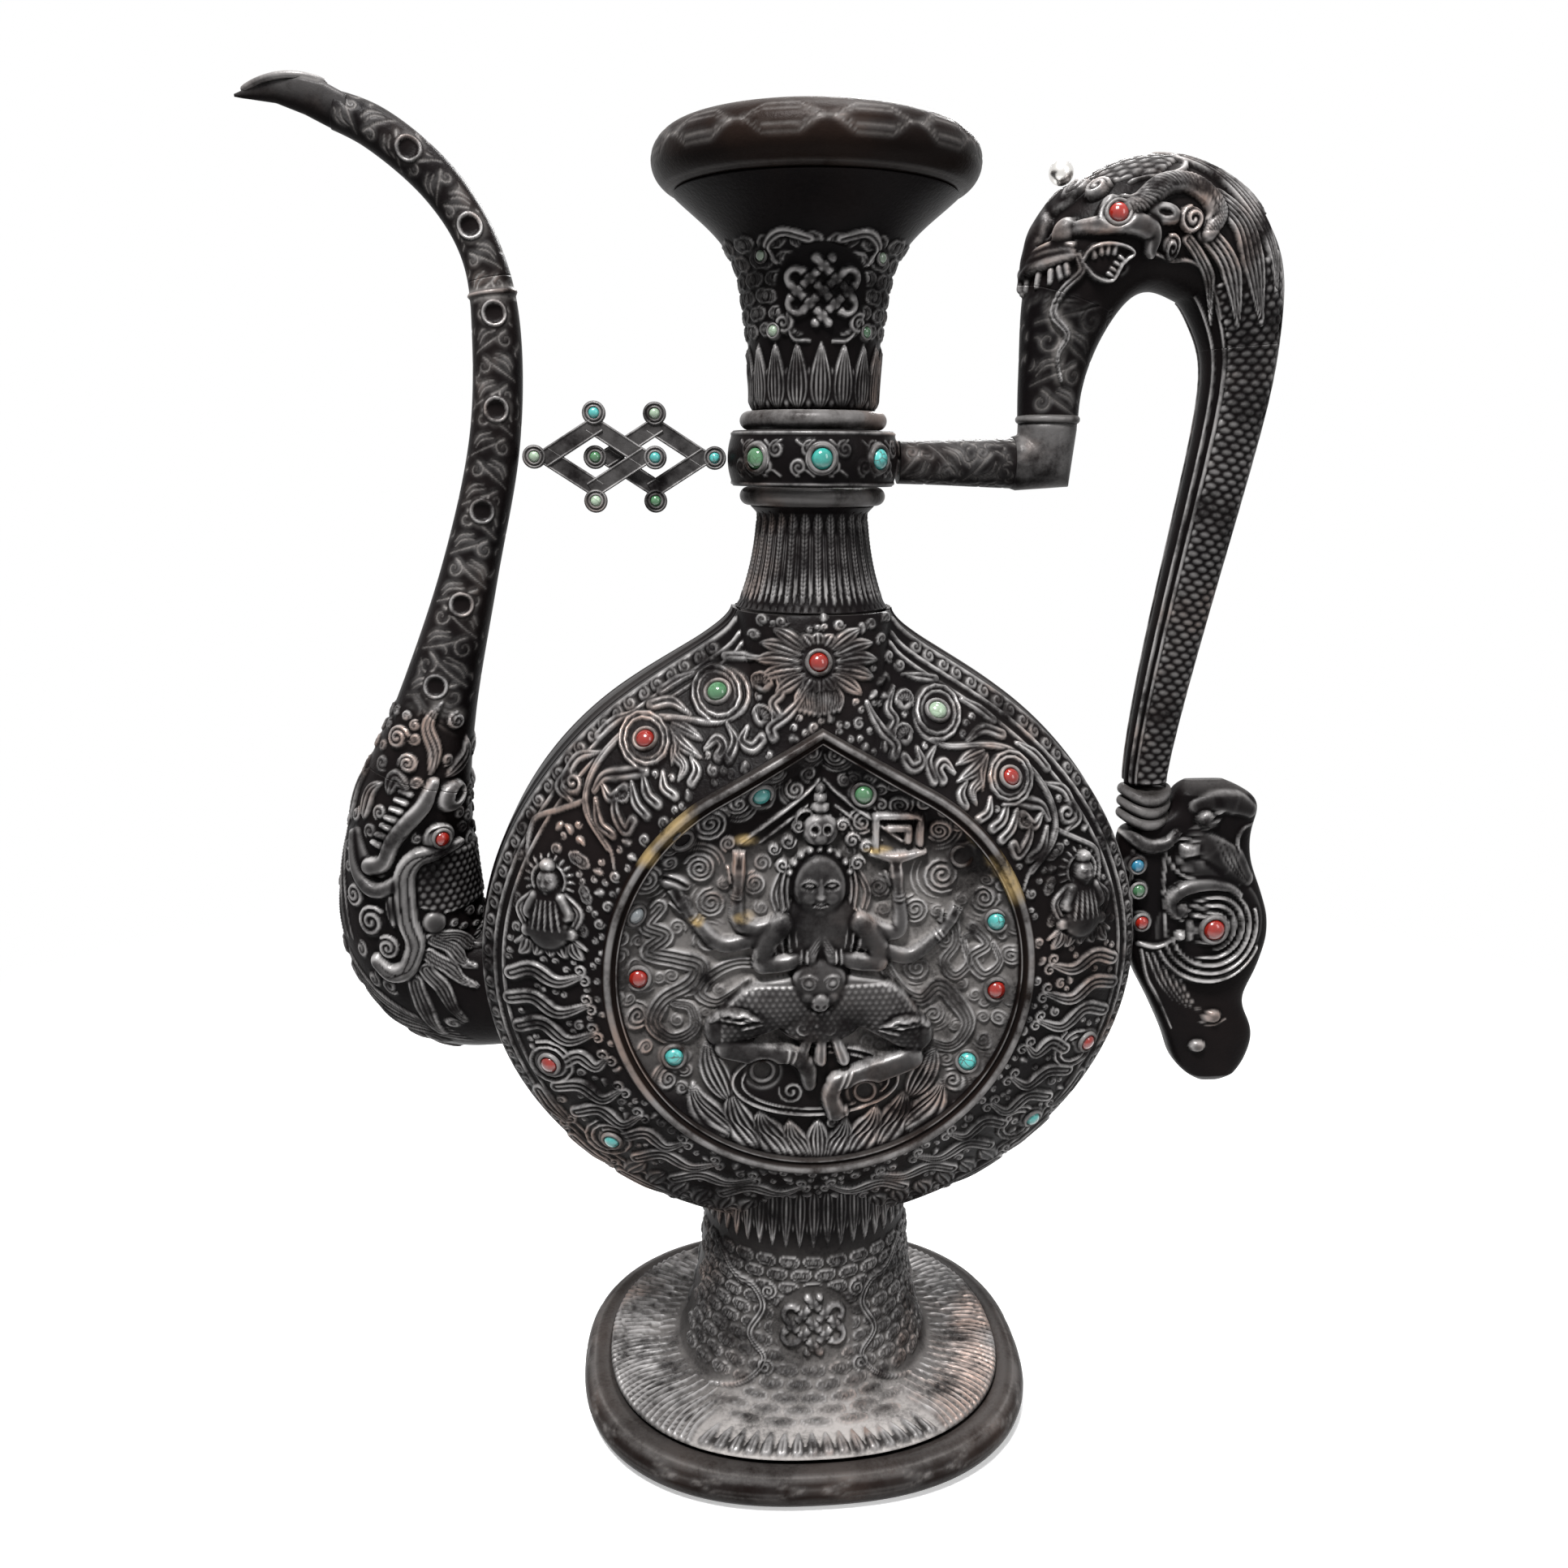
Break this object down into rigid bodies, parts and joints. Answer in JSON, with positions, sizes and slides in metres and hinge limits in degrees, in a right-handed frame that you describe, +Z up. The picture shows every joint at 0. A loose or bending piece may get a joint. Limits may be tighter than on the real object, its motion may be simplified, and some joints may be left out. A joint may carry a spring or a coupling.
{
  "type": "bronze ritual jug",
  "caption": "Tall ceremonial pouring jug: flattened round body on an oval foot, collared trumpet neck, curved spout with an openwork bridge, and a dragon-head handle.",
  "frame": {"origin": "centre of the foot's flat underside", "axes": "+Z up; +X from the jug's axis towards the handle, -X towards the spout; the decorated front faces -Y"},
  "size_m": [0.3815, 0.1704, 0.5043],
  "materials": {
    "dark_bronze": "dark brown patina, semi-gloss, dusty recesses",
    "rubbed_bronze": "brown patina worn to copper on the high edges",
    "silver": "polished silver",
    "coral_stone": "polished red stone",
    "turquoise_stone": "polished turquoise",
    "green_glass_stone": "polished green glass",
    "pale_stone": "polished pale stone"
  },
  "bodies": {
    "root": {"body_back_panel": "dark_bronze", "body_front_panel": "dark_bronze", "body_side_band": "dark_bronze", "bridge_collar_lozenge": "dark_bronze", "bridge_collar_stone_bottom": "green_glass_stone", "bridge_collar_stone_left": "green_glass_stone", "bridge_collar_stone_right": "turquoise_stone", "bridge_collar_stone_top": "pale_stone", "bridge_spout_lozenge": "dark_bronze", "bridge_spout_stone_bottom": "pale_stone", "bridge_spout_stone_left": "pale_stone", "bridge_spout_stone_right": "turquoise_stone", "bridge_spout_stone_top": "turquoise_stone", "collar_belt": "dark_bronze", "collar_lower_ring": "rubbed_bronze", "collar_stone_back_left": "green_glass_stone", "collar_stone_back_middle": "turquoise_stone", "collar_stone_back_right": "turquoise_stone", "collar_stone_front_left": "green_glass_stone", "collar_stone_front_middle": "turquoise_stone", "collar_stone_front_right": "turquoise_stone", "collar_upper_ring": "rubbed_bronze", "dragon_eye_back": "coral_stone", "dragon_eye_front": "coral_stone", "foot_base_plate": "dark_bronze", "foot_rim": "rubbed_bronze", "foot_stem": "dark_bronze", "forehead_bead": "silver", "handle_arm": "dark_bronze", "handle_cuff": "rubbed_bronze", "handle_elbow": "dark_bronze", "handle_grip": "dark_bronze", "handle_head": "dark_bronze", "handle_lug": "dark_bronze", "handle_ring": "rubbed_bronze", "handle_scroll": "dark_bronze", "handle_spiral_back": "rubbed_bronze", "handle_spiral_front": "rubbed_bronze", "handle_trunk": "dark_bronze", "medallion_back_frame": "rubbed_bronze", "medallion_back_plaque": "dark_bronze", "medallion_front_frame": "rubbed_bronze", "medallion_front_plaque": "dark_bronze", "medallion_stone_lower_left": "coral_stone", "medallion_stone_lower_right": "coral_stone", "medallion_stone_upper_left": "pale_stone", "medallion_stone_upper_right": "turquoise_stone", "mouth_rim": "rubbed_bronze", "neck_lower": "dark_bronze", "neck_upper": "dark_bronze", "shoulder_stone_green_left": "green_glass_stone", "shoulder_stone_pale_right": "pale_stone", "shoulder_stone_red_left": "coral_stone", "shoulder_stone_red_right": "coral_stone", "shoulder_stone_top": "coral_stone", "spiral_stone_front": "coral_stone", "spout_beak": "dark_bronze", "spout_bulb": "dark_bronze", "spout_lip": "rubbed_bronze", "spout_tube": "dark_bronze"}
  },
  "joints": []
}
